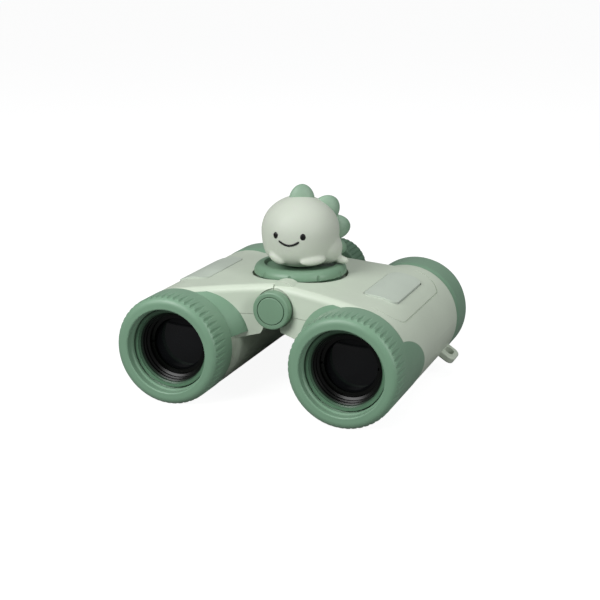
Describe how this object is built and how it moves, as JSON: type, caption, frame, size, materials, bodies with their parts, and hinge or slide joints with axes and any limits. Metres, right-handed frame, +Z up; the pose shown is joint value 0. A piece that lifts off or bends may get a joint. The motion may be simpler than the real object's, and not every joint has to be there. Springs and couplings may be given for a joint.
{
  "type": "folding binoculars",
  "caption": "Small folding roof-prism binoculars for children, with rubber rings, a rear focus wheel and a round toy dinosaur on a turntable over the central hinge.",
  "frame": {"origin": "on the table under the middle of the housing, centre of the object's footprint", "axes": "+X to the right of a viewer in front, +Y from the objectives to the eyecups, +Z up"},
  "size_m": [0.1098, 0.096, 0.0746],
  "materials": {
    "housing": "fine matte moulded plastic, pale sage",
    "thumb_pad": "satin moulded plastic, pale sage",
    "rubber": "matte soft-touch rubber, sage green",
    "green_plastic": "satin moulded plastic, sage green",
    "black_plastic": "black anti-reflection plastic",
    "coated_glass": "coated optical glass",
    "clear_glass": "polished optical glass",
    "steel": "plated steel",
    "toy_skin": "matte soft vinyl, pale sage",
    "toy_spikes": "matte soft vinyl, sage green",
    "print_black": "black painted detail"
  },
  "bodies": {
    "right_half": {"right_upper_shell": "housing", "right_lower_shell": "housing", "right_thumb_pad": "thumb_pad", "right_strap_lug": "housing", "right_shell_screws": "steel", "right_objective_ring": "rubber", "right_objective_cell": "black_plastic", "right_objective_lens": "coated_glass", "right_retaining_ring": "black_plastic", "right_prism_holder": "black_plastic", "right_half_prism": "clear_glass", "right_roof_prism": "clear_glass", "right_ocular_tube": "black_plastic", "right_field_lens": "clear_glass", "right_eye_lens": "coated_glass", "right_eyecup": "rubber", "hinge_shaft": "steel", "hinge_cap": "green_plastic", "hinge_cap_disc": "green_plastic", "turntable_base": "green_plastic", "turntable_screw": "steel"},
    "left_half": {"left_upper_shell": "housing", "left_lower_shell": "housing", "left_thumb_pad": "thumb_pad", "left_strap_lug": "housing", "left_shell_screws": "steel", "left_objective_ring": "rubber", "left_objective_cell": "black_plastic", "left_objective_lens": "coated_glass", "left_retaining_ring": "black_plastic", "left_prism_holder": "black_plastic", "left_half_prism": "clear_glass", "left_roof_prism": "clear_glass", "left_ocular_tube": "black_plastic", "left_field_lens": "clear_glass", "left_eye_lens": "coated_glass", "left_eyecup": "rubber"},
    "focus_wheel": {"focus_wheel_grip": "rubber", "focus_wheel_hub": "green_plastic", "focus_screw": "steel"},
    "right_focus": {"focus_crosshead": "black_plastic", "right_focus_cell": "black_plastic", "right_focus_lens": "clear_glass"},
    "left_focus": {"left_focus_cell": "black_plastic", "left_focus_lens": "clear_glass"},
    "turntable": {"turntable_disc": "green_plastic", "dinosaur_body": "toy_skin", "dinosaur_spikes": "toy_spikes", "dinosaur_eyes": "print_black", "dinosaur_mouth": "print_black", "dinosaur_paws": "toy_skin", "dinosaur_tail": "toy_skin"}
  },
  "joints": [
    {"name": "fold", "type": "hinge", "parent": "right_half", "child": "left_half", "pos_m": [0, 0, 0.0337], "axis": [0, -1, 0], "range_deg": [0, 38]},
    {"name": "focus_turn", "type": "hinge", "parent": "right_half", "child": "focus_wheel", "pos_m": [0, 0, 0.0337], "axis": [0, 1, 0], "range_deg": [-170, 170]},
    {"name": "right_focus_slide", "type": "slide", "parent": "right_half", "child": "right_focus", "axis": [0, 1, 0], "range_m": [-0.0014, 0.0014]},
    {"name": "left_focus_slide", "type": "slide", "parent": "left_half", "child": "left_focus", "axis": [0, 1, 0], "range_m": [-0.0014, 0.0014]},
    {"name": "turntable_spin", "type": "hinge", "parent": "right_half", "child": "turntable", "pos_m": [0, -0.0012, 0.045], "axis": [0, 0, 1], "continuous": true}
  ],
  "couplings": [
    {"joint": "focus_turn", "follows": "right_focus_slide", "rad_per_m": 2094.4},
    {"joint": "left_focus_slide", "follows": "right_focus_slide", "ratio": 1}
  ]
}
